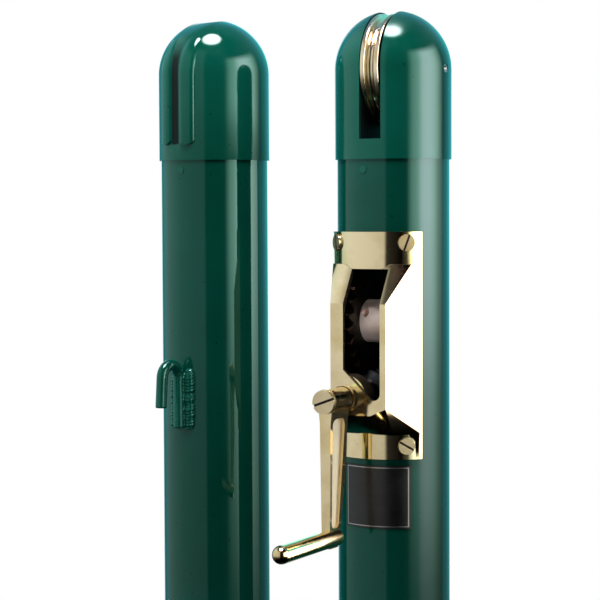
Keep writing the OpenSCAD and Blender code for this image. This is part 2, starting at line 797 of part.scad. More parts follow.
// Cast arm of I section with an eye at each face and a grip in one piece
module crank_arm() color("khaki") {
    difference() {
        union() {
            intersection() {
                translate([worm_x - front_eye_d, 0, 0]) rotate([90, 0, 90])
                    linear_extrude(2 * front_eye_d) arm_side();
                translate([worm_x, crank_back + 1, 0]) rotate([90, 0, 0])
                    linear_extrude(crank_depth + 2) arm_front();
            }
            at_worm() bar_y(front_eye_d / 2, crank_front, crank_front + 4.5);
            at_worm() translate([0, crank_front + 4, 0]) rotate([-90, 0, 0])
                cylinder(r1 = journal_d / 2 + 0.2, r2 = back_eye_r, h = crank_depth - 4);
            translate([worm_x, crank_front + 5, grip_z]) rotate([90, 0, 0]) rotate_extrude() {
                square([grip_d / 2, grip_len + 5 - grip_d / 2]);
                translate([0, grip_len + 5 - grip_d / 2]) intersection() {
                    circle(r = grip_d / 2);
                    square(grip_d / 2);
                }
            }
            translate([worm_x, 0, grip_z]) bar_y(grip_d / 2, crank_front + 4, crank_back - back_lean - 2);
        }
        for (side = [-1, 1]) translate([worm_x + (side > 0 ? web_t / 2 : -web_t / 2 - arm_w), 0, 0])
            rotate([90, 0, 90]) linear_extrude(arm_w) arm_pocket();
        // square socket for the worm's end, and the screw's hole
        translate([worm_x - square_w / 2 - 0.05, crank_front + 2, worm_z - square_w / 2 - 0.05])
            cube([square_w + 0.1, crank_depth, square_w + 0.1]);
        at_worm() bar_y(3.2, crank_front - 1, crank_front + 3);
        at_worm() bar_y(journal_d / 2 + 0.3, crank_back, crank_back + 5);
    }
}

module crank_screw() color("gold") at_worm() {
    difference() {
        union() {
            bar_y(head_d / 2, crank_front - head_t, crank_front - 0.02);
            bar_y(3, crank_front - 1, crank_front + 18);
        }
        rotate([0, -20, 0]) translate([-head_d, crank_front - head_t - 1, -0.8])
            cube([2 * head_d, 2.4, 1.6]);
    }
}

// ---- Drum and worm wheel ----

// One straight tooth that slants across the rim, at the wheel's lowest point
module wheel_tooth() {
    tip_half = tooth_half - addendum * flank - 0.1;
    root_half = tooth_half + dedendum * flank - 0.2;
    root = pitch_r - dedendum;
    rotate([0, 0, lead]) rotate([90, 0, 90]) linear_extrude(30, center = true) polygon([
        [-root_half - 0.2, -root + 1],
        [-root_half, -root],
        [-tooth_half, -pitch_r],
        [-tip_half, -wheel_r],
        [tip_half, -wheel_r],
        [tooth_half, -pitch_r],
        [root_half, -root],
        [root_half + 0.2, -root + 1],
    ]);
}

module dowels(r, x0, x1) {
    for (turn = [0, 180]) rotate([turn + 40, 0, 0]) translate([0, dowel_pcr, 0]) bar_x(r, x0, x1);
}

module worm_wheel() color("dimgray") at_drum() difference() {
    union() {
        bar_x(pitch_r - dedendum + 0.3, wheel_left, wheel_right);
        intersection() {
            bar_x(wheel_r, wheel_left, wheel_right);
            translate([worm_x, 0, 0]) for (i = [0 : wheel_teeth - 1])
                rotate([(i + 0.5) * 360 / wheel_teeth, 0, 0]) wheel_tooth();
        }
    }
    bar_x(drum_axle_d / 2 + run_gap, wheel_left - 1, wheel_right + 1);
    dowels(dowel_d / 2 + pin_gap, wheel_left - 1, wheel_right + 1);
    // dish that the drum's end seats in
    bar_x(pitch_r - dedendum - wheel_rim_t, drum_left, wheel_right + 1);
}

module drum() color("rosybrown") at_drum() difference() {
    union() {
        bar_x(drum_d / 2, drum_left, drum_right);
        bar_x(drum_flange_d / 2, drum_right - flange_t, drum_right);
    }
    bar_x(drum_axle_d / 2 + run_gap, drum_left - 1, drum_right + 1);
    dowels(dowel_d / 2 + pin_gap, drum_left - 1, drum_left + 8);
    // blind hole for the end of the cable
    translate([cable_hole_x, 0, 0]) rotate([-cable_hole_angle, 0, 0])
        bar_y(cable_hole_d / 2, -drum_d, -drum_axle_d / 2 - 1.5);
}

module drum_dowels() color("silver") at_drum()
    dowels(dowel_d / 2, wheel_left + 0.5, drum_left + 7.5);

module drum_axle() color("silver") at_drum()
    bar_x(drum_axle_d / 2, lug_left - lug_t - clip_t - 1, lug_right + lug_t + clip_t + 1);

module drum_washers() color("peru") at_drum() {
    for (x = [lug_left + side_gap, drum_right + side_gap])
        ring_x(lug_r, drum_axle_d / 2 + run_gap, x, x + washer_t);
}

module axle_clips() color("dimgray") at_drum() {
    for (x = [lug_left - lug_t - clip_t - 0.05, lug_right + lug_t + 0.05])
        ring_x(drum_axle_d / 2 + 3, drum_axle_d / 2 + 0.02, x, x + clip_t);
}

winder_post_tube();
winder_post_cap();
winder_cap_rivets();
pulley_wheel();
pulley_bush();
pulley_axle();
winder_housing();
housing_screws();
worm_front_bush();
worm_rear_bush();
thrust_washer();
worm();
crank_arm();
crank_screw();
worm_wheel();
drum();
drum_dowels();
drum_axle();
drum_washers();
axle_clips();
plain_plate();
plain_post_tube();
plain_post_cap();
plain_cap_rivets();
cable_hook();
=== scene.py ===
"""A pair of round net posts in green stove-enamelled steel tube. One carries a worm winder cast in brass
and a pulley wheel in its slotted cap; the other has a ribbed cap and a welded cable hook."""
import json
import math
import random

import bpy
from mathutils import Matrix, Vector

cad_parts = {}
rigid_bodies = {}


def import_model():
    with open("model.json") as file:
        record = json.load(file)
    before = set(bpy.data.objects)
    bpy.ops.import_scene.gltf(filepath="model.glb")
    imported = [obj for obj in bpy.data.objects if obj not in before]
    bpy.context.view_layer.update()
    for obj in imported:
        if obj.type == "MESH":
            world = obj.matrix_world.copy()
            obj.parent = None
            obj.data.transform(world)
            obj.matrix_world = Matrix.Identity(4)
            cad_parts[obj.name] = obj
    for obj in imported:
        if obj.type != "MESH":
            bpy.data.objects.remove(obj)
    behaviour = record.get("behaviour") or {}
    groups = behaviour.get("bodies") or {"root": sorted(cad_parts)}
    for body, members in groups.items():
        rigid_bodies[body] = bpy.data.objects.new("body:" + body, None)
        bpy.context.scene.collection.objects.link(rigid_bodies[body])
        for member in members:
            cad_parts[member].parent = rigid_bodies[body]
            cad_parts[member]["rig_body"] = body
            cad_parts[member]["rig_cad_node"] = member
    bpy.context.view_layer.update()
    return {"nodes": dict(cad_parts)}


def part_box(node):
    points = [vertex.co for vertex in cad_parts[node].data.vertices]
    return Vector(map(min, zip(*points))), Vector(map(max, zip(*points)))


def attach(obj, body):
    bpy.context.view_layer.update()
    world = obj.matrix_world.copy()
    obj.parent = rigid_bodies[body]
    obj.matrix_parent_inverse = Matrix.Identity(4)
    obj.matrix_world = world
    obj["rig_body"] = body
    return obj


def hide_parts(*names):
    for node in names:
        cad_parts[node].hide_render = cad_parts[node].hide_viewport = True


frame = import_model()
nodes = frame["nodes"]
scene = bpy.context.scene
scene.view_settings.view_transform = "Standard"
for start_object in [o for o in scene.objects if "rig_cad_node" not in o and o.type != "EMPTY"]:
    bpy.data.objects.remove(start_object)

# Camera: a long lens a little above the winder, to the right of both posts.
# It looks slightly down, and its frame cuts the posts off above the ground.
CAMERA_PLACE = Vector((0.5507, -1.0983, 1.2419))
CAMERA_AZIMUTH = Vector((-0.4939, 0.8695, 0))
CAMERA_PITCH = math.radians(-2.8)
CAMERA_ROLL = math.radians(-0.25)
CAMERA_LENS_MM = 108.42

forward = CAMERA_AZIMUTH.normalized() * math.cos(CAMERA_PITCH)
forward.z = math.sin(CAMERA_PITCH)
camera_data = bpy.data.cameras.new("studio_camera")
camera_data.lens = CAMERA_LENS_MM
camera_data.sensor_width = 36
camera_data.clip_start = 0.01
camera_data.clip_end = 100
camera = bpy.data.objects.new("studio_camera", camera_data)
scene.collection.objects.link(camera)
upright = forward.to_track_quat("-Z", "Y").to_matrix().to_4x4()
camera.matrix_world = Matrix.Translation(CAMERA_PLACE) @ upright @ Matrix.Rotation(CAMERA_ROLL, 4, "Z")
scene.camera = camera


# Studio surround: white behind the object, a broad softbox to the right, a lamp overhead,
# a grey fill to the left and dark flags between them, so that the gloss shows clear bands.
def wire(tree, node, feeds):
    """Feeds a node's inputs from other nodes' outputs, or sets them to plain values."""
    for socket, value in feeds.items():
        if isinstance(value, bpy.types.NodeSocket):
            tree.links.new(value, node.inputs[socket])
        else:
            node.inputs[socket].default_value = value


def add(tree, kind, feeds=None, **settings):
    """Adds a node with its settings and its feeds."""
    node = tree.nodes.new(kind)
    for name, value in settings.items():
        setattr(node, name, value)
    wire(tree, node, feeds or {})
    return node


def ramp(tree, factor, stops):
    """A colour ramp through (place, colour or grey) stops, read at factor."""
    node = add(tree, "ShaderNodeValToRGB", {"Fac": factor})
    points = node.color_ramp.elements
    while len(points) < len(stops):
        points.new(0.5)
    for point, (place, colour) in zip(points, stops):
        point.position = place
        point.color = colour if hasattr(colour, "__len__") else (colour, colour, colour, 1)
    return node.outputs["Color"]


def mix(tree, first, second, factor=1.0, blend="MIX"):
    """Two colours mixed by factor, or blended in another way."""
    node = add(tree, "ShaderNodeMix", {6: first, 7: second, 0: factor}, data_type="RGBA", blend_type=blend)
    return node.outputs[2]


def reckon(tree, operation, *values):
    """One sum on plain numbers or other nodes' outputs."""
    return add(tree, "ShaderNodeMath", dict(enumerate(values)), operation=operation).outputs[0]


def remap(tree, value, low, high, to_low=0.0, to_high=1.0):
    """The span from low to high carried over to the span from to_low to to_high."""
    return add(tree, "ShaderNodeMapRange", {"Value": value, "From Min": low, "From Max": high,
                                            "To Min": to_low, "To Max": to_high}).outputs["Result"]


BAND_PEAK = 16.0
# bearing in degrees to the right of the camera, as a post sees it, and the radiance from there
BANDS = [(-180, 0.0), (-159, 0.02), (-148, 0.04), (-136, 0.34), (-120, 0.65), (-95, 0.8), (-60, 0.75),
         (-40, 0.7), (-21, 0.65), (-16, 0.03), (12, 0.0), (26, 0.12), (40, 0.0), (52, 0.0),
         (66, 0.14), (150, 0.14), (162, 0.0), (180, 0.0)]
# the white background, which the gloss sees behind the object
BACKDROP = [(-180, 1.0), (-166, 1.0), (-159, 0.0), (159, 0.0), (166, 1.0), (180, 1.0)]
# the softbox is a little warm in its middle
SOFTBOX = [(24, (0, 0, 0)), (29, (1.4, 1.6, 1.4)), (36, (4.1, 4.2, 3.7)), (44, (5.5, 5.5, 4.9)),
           (50, (8.0, 7.2, 6.8)), (55, (12.5, 9.6, 10.0)), (62, (14.2, 10.6, 11.2)), (74, (13.0, 10.2, 10.6)),
           (84, (9.0, 8.4, 8.2)), (92, (5.6, 6.0, 5.4)), (100, (2.6, 3.0, 2.6)), (110, (0, 0, 0))]

world = bpy.data.worlds.new("studio_surround")
world.use_nodes = True
scene.world = world
sky = world.node_tree
sky.nodes.clear()
direction = add(sky, "ShaderNodeTexCoord").outputs["Generated"]
camera_bearing = math.atan2(-forward.y, -forward.x)
turned = add(sky, "ShaderNodeVectorRotate", {"Vector": direction, "Angle": -camera_bearing},
             rotation_type="Z_AXIS").outputs["Vector"]
around = add(sky, "ShaderNodeTexGradient", {"Vector": turned}, gradient_type="RADIAL").outputs["Fac"]
rise = remap(sky, add(sky, "ShaderNodeSeparateXYZ", {"Vector": direction}).outputs["Z"], -1, 1)


def by_bearing(stops):
    """The radiance at each bearing in degrees, in parts of the peak."""
    return ramp(sky, around, [((bearing + 180) / 360, (*[part / BAND_PEAK for part in radiance], 1)
                               if hasattr(radiance, "__len__") else radiance / BAND_PEAK)
                              for bearing, radiance in stops])


def by_rise(stops):
    """The share of light, or its colour, at each elevation in degrees."""
    return ramp(sky, rise, [((math.sin(math.radians(degrees)) + 1) / 2, share) for degrees, share in stops])


def dimmed(light, shares):
    """A light of the surround held back to its shares."""
    return mix(sky, light, shares, blend="MULTIPLY")


def together(first, second):
    """Two lights of the surround at once."""
    return mix(sky, first, second, blend="ADD")


flags = dimmed(by_bearing(BANDS), by_rise([(-45, 0.0), (-24, 0.1), (-12, 0.75), (0, 1.0), (44, 1.0),
                                           (55, 0.05), (60, 0.03)]))
backdrop = dimmed(by_bearing(BACKDROP), by_rise([(-60, 0.0), (-20, 0.5), (-8, 1.0), (14, 1.0), (26, 0.04)]))
softbox = dimmed(by_bearing(SOFTBOX), by_rise([(-17, 0.0), (-12, (0.11, 0.12, 0.11, 1)),
                                               (-8.5, (0.33, 0.345, 0.33, 1)), (-6, 0.45), (-2.8, 0.82),
                                               (0, 1.0), (26, 0.9), (35, 0.0)]))
# the wall behind on the right is teal, which the tubes' right edges pick up; the ceiling is a dim grey
wall = dimmed(ramp(sky, around, [(0.0, 0.3), (0.2, 0.1), (0.26, 0.0), (0.79, 0.0), (0.84, 0.7), (0.9, 1.0),
                                 (1.0, 1.0)]),
              by_rise([(-22, 0.0), (-10, 0.5), (0, 1.0), (20, 1.0), (45, 0.2)]))
ceiling = dimmed(ramp(sky, around, [(0.0, 1.0), (0.2, 1.0), (0.3, 0.0), (0.7, 0.0), (0.8, 1.0), (1.0, 1.0)]),
                 by_rise([(18, 0.0), (36, 1.0), (72, 1.0), (86, 0.0)]))
room = together(dimmed(wall, (0.001, 0.055, 0.06, 1)), dimmed(ceiling, (0.009, 0.014, 0.022, 1)))
glossy = add(sky, "ShaderNodeBackground", {"Color": together(together(together(flags, backdrop), softbox), room),
                                           "Strength": BAND_PEAK})
# overhead lamp: a round softbox 77 degrees up on the camera's side, soft at its rim
LAMP_BEARING, LAMP_RISE, LAMP_SPREAD = math.radians(-12), math.radians(77), math.radians(14)
LAMP_RADIANCE = 48.0
lamp_way = (math.cos(camera_bearing + LAMP_BEARING) * math.cos(LAMP_RISE),
            math.sin(camera_bearing + LAMP_BEARING) * math.cos(LAMP_RISE), math.sin(LAMP_RISE))
towards = add(sky, "ShaderNodeVectorMath", {0: direction, 1: lamp_way}, operation="DOT_PRODUCT").outputs["Value"]
disc = remap(sky, towards, math.cos(LAMP_SPREAD * 1.12), math.cos(LAMP_SPREAD * 0.8))
lamp = add(sky, "ShaderNodeBackground", {"Color": ramp(sky, disc, [(0, 0.0), (1, (1.0, 0.74, 0.8, 1))]),
                                         "Strength": LAMP_RADIANCE})
# the gloss sees all of this, the matt surfaces a plain soft light, and the camera only white
studio = add(sky, "ShaderNodeAddShader", {0: glossy.outputs[0], 1: lamp.outputs[0]})
soft = add(sky, "ShaderNodeBackground", {"Color": by_rise([(-30, 0.1), (10, 0.18), (70, 0.4)]), "Strength": 1.0})
white = add(sky, "ShaderNodeBackground", {"Color": (1, 1, 1, 1), "Strength": 1.0})
rays = add(sky, "ShaderNodeLightPath").outputs
lit = add(sky, "ShaderNodeMixShader", {0: rays["Is Glossy Ray"], 1: soft.outputs[0], 2: studio.outputs[0]})
straight = reckon(sky, "MAXIMUM", rays["Is Camera Ray"], rays["Is Transmission Ray"])
seen = add(sky, "ShaderNodeMixShader", {0: straight, 1: lit.outputs[0], 2: white.outputs[0]})
add(sky, "ShaderNodeOutputWorld", {"Surface": seen.outputs[0]})


# Lamps for the matt light: a key softbox above the caps on the camera's side, whose light dies away down
# the tubes, a fill on the left, and one behind for the far side. The gloss sees the surround instead.
def softbox_lamp(name, bearing, distance, rise_above, size, watts, aim=(-0.07, 0, 1.28), only=None):
    """A square lamp at a bearing in degrees to the right of the camera, aimed at the caps or another place.

    A lamp for one piece only is a small card close to it: no other piece takes its light or is in its way."""
    data = bpy.data.lights.new(name, "AREA")
    data.size = size
    data.energy = watts
    lamp_object = bpy.data.objects.new(name, data)
    scene.collection.objects.link(lamp_object)
    aim = Vector(aim)
    away = camera_bearing + math.radians(bearing)
    place = aim + Vector((math.cos(away) * distance, math.sin(away) * distance, rise_above))
    lamp_object.matrix_world = (Matrix.Translation(place)
                                @ (aim - place).to_track_quat("-Z", "Y").to_matrix().to_4x4())
    lamp_object.visible_camera = False
    lamp_object.visible_glossy = only is not None
    if only:
        alone = bpy.data.collections.new(name + "_piece")
        alone.objects.link(only)
        lamp_object.light_linking.receiver_collection = alone
        lamp_object.light_linking.blocker_collection = alone


softbox_lamp("key_softbox", bearing=-8, distance=0.34, rise_above=0.50, size=0.3, watts=4.3)
softbox_lamp("fill_softbox", bearing=-105, distance=0.9, rise_above=0.1, size=0.6, watts=8.0)
softbox_lamp("far_softbox", bearing=170, distance=0.7, rise_above=0.4, size=0.5, watts=2.6)


# Floor: matt white paint on a flat sheet under both posts.
# It is bright to the camera, but keeps the object's shadow.
def linear(code):
    """An sRGB hex colour as the linear colour that sockets take."""
    parts = [int(code[i:i + 2], 16) / 255 for i in (1, 3, 5)]
    return tuple(c / 12.92 if c <= 0.04045 else ((c + 0.055) / 1.055) ** 2.4 for c in parts) + (1.0,)


def blank(name):
    """A new material, its tree and its surface shader."""
    material = bpy.data.materials.new(name)
    material.use_nodes = True
    return material, material.node_tree, material.node_tree.nodes["Principled BSDF"]


FLOOR_RADIUS, FLOOR_GLOW = 2.4, 0.42
bpy.ops.mesh.primitive_circle_add(vertices=96, radius=FLOOR_RADIUS, fill_type="NGON", location=(0, 0, 0))
floor = bpy.context.object
floor.name = "studio_floor"
paint, tree, shader = blank("matt white floor paint")
to_camera = add(tree, "ShaderNodeLightPath").outputs["Is Camera Ray"]
wire(tree, shader, {"Base Color": linear("#f4f4f4"), "Roughness": 0.8, "Emission Color": (1, 1, 1, 1),
                    "Emission Strength": reckon(tree, "MULTIPLY", to_camera, FLOOR_GLOW)})
floor.data.materials.append(paint)
floor.visible_glossy = False


# Posts: two lengths of 76.2 mm round steel tube with a 3 mm wall, stoved in gloss green enamel.
# The enamel lies smooth on drawn tube, so that bands of light keep clean edges on it.
def noise(tree, place, scale, detail):
    """Cloudy noise; its coarsest patches are 1 / scale metres wide."""
    return add(tree, "ShaderNodeTexNoise", {"Vector": place, "Scale": scale, "Detail": detail}).outputs["Fac"]


def bump(tree, height, distance, strength, under=None):
    """A surface tilted by a height, over another such surface where there is one."""
    feeds = {"Height": height, "Distance": distance, "Strength": strength}
    if under:
        feeds["Normal"] = under
    return add(tree, "ShaderNodeBump", feeds).outputs["Normal"]


def stoving_enamel(name, roughness, ripple_mm, peel_mm, greens, full_coat=None):
    """Green enamel; ripple_mm and peel_mm are the heights of its long waves and of its orange peel.

    The last argument, where given, adds what is 1 in the open and 0 where the green is painted near black as
    painted shade."""
    material, tree, shader = blank(name)
    place = add(tree, "ShaderNodeTexCoord").outputs["Object"]
    # the coat's thickness drifts over some 60 mm, and with it how deep the green looks
    green = ramp(tree, noise(tree, place, 16.0, 2.0), [(0.3, linear(greens[0])), (0.7, linear(greens[1]))])
    # dust nibs and pinholes of about 1 mm, a shade darker
    nib = add(tree, "ShaderNodeTexVoronoi", {"Vector": place, "Scale": 95.0}, feature="F1").outputs["Distance"]
    spot = ramp(tree, nib, [(0.035, linear("#6f8a80")), (0.075, (1, 1, 1, 1))])
    # the thin far edges turn to teal
    # painted sheen: the base colour turns teal on edges that turn away from the view
    edge = add(tree, "ShaderNodeLayerWeight", {"Blend": 0.32}).outputs["Facing"]
    rim = ramp(tree, edge, [(0.38, 0.0), (0.62, 0.6), (1.0, 1.0)])
    colour = mix(tree, mix(tree, green, spot, blend="MULTIPLY"), linear("#046f78"), rim)
    gloss = remap(tree, noise(tree, place, 70.0, 4.0), 0.35, 0.7, roughness, roughness * 1.5)
    if full_coat:
        coat = full_coat(tree, place)
        # painted shade: where the mask is 0, the green is mixed to near black and made rough
        colour = mix(tree, linear("#080b0a"), colour, coat)
        gloss = remap(tree, coat, 0, 1, 0.7, roughness * 1.2)
    # long waves of about 30 mm, then orange peel of about 3 mm
    waves = bump(tree, noise(tree, place, 33.0, 1.0), ripple_mm / 1000, 1.0)
    peel = bump(tree, noise(tree, place, 330.0, 1.5), peel_mm / 1000, 1.0, under=waves)
    # the gloss throws back a cool light
    wire(tree, shader, {"Base Color": colour, "Roughness": gloss, "Normal": peel, "IOR": 1.5,
                        "Specular IOR Level": 0.45, "Specular Tint": linear("#bcfff3")})
    return material


def dress(piece, material):
    """Gives a piece or a CAD node its one material."""
    piece.data.materials.clear()
    piece.data.materials.append(material)


tube_enamel = stoving_enamel("gloss green stoving enamel on drawn steel tube", 0.045, 0.05, 0.0016,
                             ("#023d30", "#04463a"))
for name in ("winder_post_tube", "plain_post_tube"):
    dress(nodes[name], tube_enamel)


# Winder post cap: a domed casting with a slot for the pulley wheel, pressed into the tube and enamelled
# with it. The coat is a little thicker and more uneven here, and it rounds every edge of the slot.
def select_only(piece):
    """Makes a piece the only one that the next tool works on."""
    bpy.ops.object.select_all(action="DESELECT")
    piece.select_set(True)
    bpy.context.view_layer.objects.active = piece


def join_up(piece):
    """Joins the loose triangles of a copied CAD mesh and clears the edges inside its flat faces."""
    select_only(piece)
    bpy.ops.mesh.customdata_custom_splitnormals_clear()
    bpy.ops.object.mode_set(mode="EDIT")
    bpy.ops.mesh.select_all(action="SELECT")
    bpy.ops.mesh.remove_doubles(threshold=1e-6)
    bpy.ops.mesh.dissolve_limited(angle_limit=math.radians(0.5))
    bpy.ops.object.mode_set(mode="OBJECT")


def round_edges(piece, width, segments=2, angle=30):
    """Rounds the edges sharper than angle, and shades what is left smooth."""
    select_only(piece)
    bevel = piece.modifiers.new("rounded_edges", "BEVEL")
    bevel.width = width
    bevel.segments = segments
    bevel.limit_method = "ANGLE"
    bevel.angle_limit = math.radians(angle)
    bevel.miter_outer = "MITER_ARC"
    bpy.ops.object.modifier_apply(modifier=bevel.name)
    bpy.ops.object.shade_smooth_by_angle(angle=math.radians(angle))
    # the flats stay flat, and only the rounded edges turn the light
    weighted = piece.modifiers.new("flat_faces_rule", "WEIGHTED_NORMAL")
    weighted.keep_sharp = True
    weighted.weight = 100
    bpy.ops.object.modifier_apply(modifier=weighted.name)


def finish_node(name, material, width, segments=2, angle=30):
    """A copy of a CAD node with its edges rounded as its maker leaves them, in the node's place."""
    source = nodes[name]
    piece = bpy.data.objects.new(name + "_finished", source.data.copy())
    scene.collection.objects.link(piece)
    join_up(piece)
    round_edges(piece, width, segments, angle)
    dress(piece, material)
    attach(piece, source["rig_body"])
    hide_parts(name)
    return piece


def casting_enamel(name, full_coat=None):
    """The posts' enamel as it lies on a casting or a weld."""
    return stoving_enamel(name, 0.08, 0.14, 0.006, ("#044839", "#065245"), full_coat)


def coat_outside(tree, place):
    """1 on the outside of the winder post's cap, and 0 from 1.8 mm deep, where the slot's inside is painted near
    black as painted shade.
    """
    outside_r, dome_z = 0.0388, 1.339
    parts = add(tree, "ShaderNodeSeparateXYZ", {"Vector": place}).outputs
    above = reckon(tree, "MAXIMUM", reckon(tree, "SUBTRACT", parts["Z"], dome_z), 0.0)
    reach = add(tree, "ShaderNodeCombineXYZ", {"X": parts["X"], "Y": parts["Y"], "Z": above}).outputs[0]
    reach = add(tree, "ShaderNodeVectorMath", {0: reach}, operation="LENGTH").outputs["Value"]
    return remap(tree, reach, outside_r - 0.0018, outside_r)


# painted shade: the inside of the slot is painted near black
slotted_enamel = casting_enamel("gloss green stoving enamel, thin inside the slot", coat_outside)
finish_node("winder_post_cap", slotted_enamel, 0.0009, segments=3)


# Cap rivets: two steel pop rivets of 3 mm through each tube into the cap's spigot. Their low domed heads
# are painted over, and each keeps the small pit where its pin broke off.
def pop_rivet(name):
    """One rivet head on the front of the winder post's tube, at the height of its cap's rivets."""
    head_r, head_y, head_z, edge_height = 0.0028, -0.0383, 1.2695, 0.0010
    bpy.ops.mesh.primitive_cylinder_add(vertices=32, radius=head_r, depth=edge_height,
                                        location=(0, head_y, head_z), rotation=(math.pi / 2, 0, 0))
    piece = bpy.context.object
    piece.name = name
    bpy.ops.object.transform_apply(location=True, rotation=True, scale=True)
    foremost = min(face.center.y for face in piece.data.polygons)
    for face in piece.data.polygons:
        face.select = face.center.y < foremost + 1e-5
    bpy.ops.object.mode_set(mode="EDIT")
    # two steps up to the crown of the dome, then a dip and the pit
    for thickness, depth in ((0.0007, 0.0004), (0.0007, 0.00015), (0.0002, -0.0001), (0.0001, -0.0007)):
        bpy.ops.mesh.inset(thickness=thickness, depth=depth)
    bpy.ops.object.mode_set(mode="OBJECT")
    return piece


def place_apply(piece, matrix):
    """Moves a piece and applies the move, so that its place is in its mesh."""
    piece.matrix_world = matrix
    select_only(piece)
    bpy.ops.object.transform_apply(location=True, rotation=True, scale=True)


# the plain post stands to the left, turned a little, and its tube is cut longer,
# which lifts all that is fixed near its top
PLAIN_X, PLAIN_TURN, PLAIN_EXTRA = -0.143, math.radians(-6), 0.0017
PLAIN_POST = Matrix.Translation((PLAIN_X, 0, 0)) @ Matrix.Rotation(PLAIN_TURN, 4, "Z")
PLAIN_TOP = Matrix.Translation((0, 0, PLAIN_EXTRA)) @ PLAIN_POST
cap_enamel = casting_enamel("gloss green stoving enamel on a casting")
first = pop_rivet("rivet_model")
for name, matrix, node_name in (
        ("winder_cap_rivet_front", Matrix.Rotation(math.radians(-5), 4, "Z"), "winder_cap_rivets"),
        ("winder_cap_rivet_back", Matrix.Rotation(math.radians(175), 4, "Z"), "winder_cap_rivets"),
        ("plain_cap_rivet_front", PLAIN_TOP, "plain_cap_rivets"),
        ("plain_cap_rivet_back", PLAIN_TOP @ Matrix.Rotation(math.pi, 4, "Z"), "plain_cap_rivets")):
    rivet = bpy.data.objects.new(name, first.data.copy())
    scene.collection.objects.link(rivet)
    place_apply(rivet, matrix)
    round_edges(rivet, 0.00012)
    dress(rivet, cap_enamel)
    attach(rivet, "posts")
    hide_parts(node_name)
bpy.data.objects.remove(first)


# Pulley wheel: turned from brass bar, 75.6 mm across, with a round-bottomed groove for the cable.
# It runs on a bronze bush and shows the fine rings of the lathe, brighter where the cable polished it.
def turned_metal(name, dull, bright, roughness, ring_mm, axis, centre, metallic=1.0, ring_depth=0.00002):
    """Metal off the lathe: rings of the tool round an axis through centre, drawn coarse enough to show."""
    material, tree, shader = blank(name)
    place = add(tree, "ShaderNodeTexCoord").outputs["Object"]
    # the distance along the axis and away from it, so rings show on the faces and on the rims
    shift = add(tree, "ShaderNodeVectorMath", {0: place, 1: centre}, operation="SUBTRACT").outputs["Vector"]
    along = add(tree, "ShaderNodeVectorMath", {0: shift, 1: axis}, operation="DOT_PRODUCT").outputs["Value"]
    reach = add(tree, "ShaderNodeVectorMath", {0: shift}, operation="LENGTH").outputs["Value"]
    # 6283.2 radians to the metre make rings 1 mm apart
    feed = reckon(tree, "MULTIPLY", reckon(tree, "ADD", along, reach), 6283.2 / ring_mm)
    patch = noise(tree, place, 120.0, 4.0)
    wire(tree, shader, {"Base Color": ramp(tree, patch, [(0.3, linear(dull)), (0.62, linear(bright))]),
                        "Metallic": metallic,
                        "Roughness": remap(tree, patch, 0.3, 0.7, roughness * 1.35, roughness * 0.8),
                        "Normal": bump(tree, reckon(tree, "SINE", feed), ring_depth, 0.6)})
    return material


# the cap and all that it holds are turned 3 degrees
CAP_TURN = math.radians(3)
PULLEY_CENTRE = (0.000136, -0.002596, 1.3368)
PULLEY_AXIS = (0.99863, 0.052336, 0)
# 0.5 mm feed, drawn twice as coarse as a finishing cut so that it shows
pulley_brass = turned_metal("turned brass", "#dccba0", "#f3e8cb", 0.2, 0.5, PULLEY_AXIS, PULLEY_CENTRE,
                            ring_depth=0.000004)
finish_node("pulley_wheel", pulley_brass, 0.0005, segments=3)
bush_bronze = turned_metal("turned bearing bronze", "#8a5a34", "#b98457", 0.3, 0.5, PULLEY_AXIS, PULLEY_CENTRE)
finish_node("pulley_bush", bush_bronze, 0.0003)

# Pulley axle: a 6 mm steel pin through the cap, driven flush and centre-punched at both ends to hold it.
# Its ends show as a small bright face with a dark pit in a dark ring.
CAP_R, AXLE_R, AXLE_FORWARD, AXLE_SHY = 0.0395, 0.003, 0.0026, 0.0004
pin_steel = turned_metal("turned mild steel", "#6d7072", "#a9acae", 0.28, 0.4, PULLEY_AXIS, PULLEY_CENTRE)
half_length = math.sqrt(CAP_R ** 2 - AXLE_FORWARD ** 2) - AXLE_SHY
bpy.ops.mesh.primitive_cylinder_add(vertices=48, radius=AXLE_R, depth=2 * half_length)
axle = bpy.context.object
axle.name = "pulley_axle_pin"
for face in axle.data.polygons:
    face.select = abs(face.center.z) > half_length - 1e-5
bpy.ops.object.mode_set(mode="EDIT")
# the rim, the ring that the punch left, and its pit
for thickness, depth in ((0.0005, 0.0), (0.0011, -0.0002), (0.0006, -0.0009)):
    bpy.ops.mesh.inset(thickness=thickness, depth=depth, use_individual=True)
bpy.ops.object.mode_set(mode="OBJECT")
place_apply(axle, Matrix.Translation(PULLEY_CENTRE) @ Matrix.Rotation(CAP_TURN, 4, "Z")
            @ Matrix.Rotation(math.pi / 2, 4, "Y"))
round_edges(axle, 0.0003, angle=25)
dress(axle, pin_steel)
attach(axle, "posts")
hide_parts("pulley_axle")


